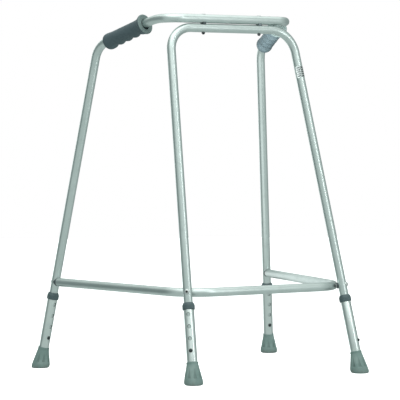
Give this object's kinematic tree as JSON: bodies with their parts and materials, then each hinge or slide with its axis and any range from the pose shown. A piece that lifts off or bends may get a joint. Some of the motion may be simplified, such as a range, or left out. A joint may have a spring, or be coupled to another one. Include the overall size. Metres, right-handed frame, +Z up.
{
  "type": "walking frame",
  "caption": "Bent-tube walking frame with ribbed handgrips, a U-shaped lower brace and height-adjustable legs on rubber ferrules.",
  "frame": {"origin": "on the floor, midway between the four feet", "axes": "+Z up, -Y the front, the person stands at +Y, +X to the right seen from the front"},
  "size_m": [0.6524, 0.5434, 0.7801],
  "materials": {
    "aluminium": "satin anodised",
    "leg_aluminium": "satin anodised",
    "grip_vinyl": "satin",
    "collar_plastic": "satin",
    "ferrule_rubber": "matt",
    "dark_plastic": "satin",
    "blackened_steel": "satin",
    "bright_steel": "plated",
    "label_film": "satin"
  },
  "bodies": {
    "frame": {"handle_tube": "aluminium", "front_tube": "aluminium", "brace_tube": "aluminium", "grip_left": "grip_vinyl", "grip_right": "grip_vinyl", "rail_saddle_left": "dark_plastic", "brace_saddle_front_left": "dark_plastic", "brace_plug_rear_left": "dark_plastic", "rail_saddle_right": "dark_plastic", "brace_saddle_front_right": "dark_plastic", "brace_plug_rear_right": "dark_plastic", "rail_nut_left": "blackened_steel", "brace_nut_front_left": "blackened_steel", "rail_nut_right": "blackened_steel", "brace_nut_front_right": "blackened_steel", "rail_bolt_left": "bright_steel", "brace_bolt_front_left": "bright_steel", "brace_bolt_rear_left": "bright_steel", "rail_bolt_right": "bright_steel", "brace_bolt_front_right": "bright_steel", "brace_bolt_rear_right": "bright_steel", "button_spring_front_left": "bright_steel", "button_spring_front_right": "bright_steel", "button_spring_rear_left": "bright_steel", "button_spring_rear_right": "bright_steel", "blank_label": "label_film"},
    "leg_front_left": {"lower_leg_front_left": "leg_aluminium", "collar_front_left": "collar_plastic", "ferrule_front_left": "ferrule_rubber", "ferrule_disc_front_left": "bright_steel"},
    "button_front_left": {"snap_button_front_left": "blackened_steel"},
    "leg_front_right": {"lower_leg_front_right": "leg_aluminium", "collar_front_right": "collar_plastic", "ferrule_front_right": "ferrule_rubber", "ferrule_disc_front_right": "bright_steel"},
    "button_front_right": {"snap_button_front_right": "blackened_steel"},
    "leg_rear_left": {"lower_leg_rear_left": "leg_aluminium", "collar_rear_left": "collar_plastic", "ferrule_rear_left": "ferrule_rubber", "ferrule_disc_rear_left": "bright_steel"},
    "button_rear_left": {"snap_button_rear_left": "blackened_steel"},
    "leg_rear_right": {"lower_leg_rear_right": "leg_aluminium", "collar_rear_right": "collar_plastic", "ferrule_rear_right": "ferrule_rubber", "ferrule_disc_rear_right": "bright_steel"},
    "button_rear_right": {"snap_button_rear_right": "blackened_steel"}
  },
  "joints": [
    {"name": "leg_slide_front_left", "type": "slide", "parent": "frame", "child": "leg_front_left", "axis": [-0.0712, -0.2319, -0.9701], "range_m": [0, 0.0762], "deforming": ["snap_button_front_left"]},
    {"name": "leg_slide_front_right", "type": "slide", "parent": "frame", "child": "leg_front_right", "axis": [0.0712, -0.2319, -0.9701], "range_m": [0, 0.0762], "deforming": ["snap_button_front_right"]},
    {"name": "leg_slide_rear_left", "type": "slide", "parent": "frame", "child": "leg_rear_left", "axis": [-0.1261, 0.1529, -0.9802], "range_m": [0, 0.0762], "deforming": ["snap_button_rear_left"]},
    {"name": "leg_slide_rear_right", "type": "slide", "parent": "frame", "child": "leg_rear_right", "axis": [0.1261, 0.1529, -0.9802], "range_m": [0, 0.0762], "deforming": ["snap_button_rear_right"]},
    {"name": "button_press_front_left", "type": "slide", "parent": "frame", "child": "button_front_left", "axis": [0.6353, 0.7393, -0.2234], "range_m": [0, 0.0045], "stiffness_N_per_m": 700, "springref_m": -0.004, "deforming": ["button_spring_front_left"]},
    {"name": "button_press_front_right", "type": "slide", "parent": "frame", "child": "button_front_right", "axis": [-0.6353, 0.7393, -0.2234], "range_m": [0, 0.0045], "stiffness_N_per_m": 700, "springref_m": -0.004, "deforming": ["button_spring_front_right"]},
    {"name": "button_press_rear_left", "type": "slide", "parent": "frame", "child": "button_rear_left", "axis": [-0.1742, 0.9693, 0.1737], "range_m": [0, 0.0045], "stiffness_N_per_m": 700, "springref_m": -0.004, "deforming": ["button_spring_rear_left"]},
    {"name": "button_press_rear_right", "type": "slide", "parent": "frame", "child": "button_rear_right", "axis": [0.1742, 0.9693, 0.1737], "range_m": [0, 0.0045], "stiffness_N_per_m": 700, "springref_m": -0.004, "deforming": ["button_spring_rear_right"]}
  ]
}
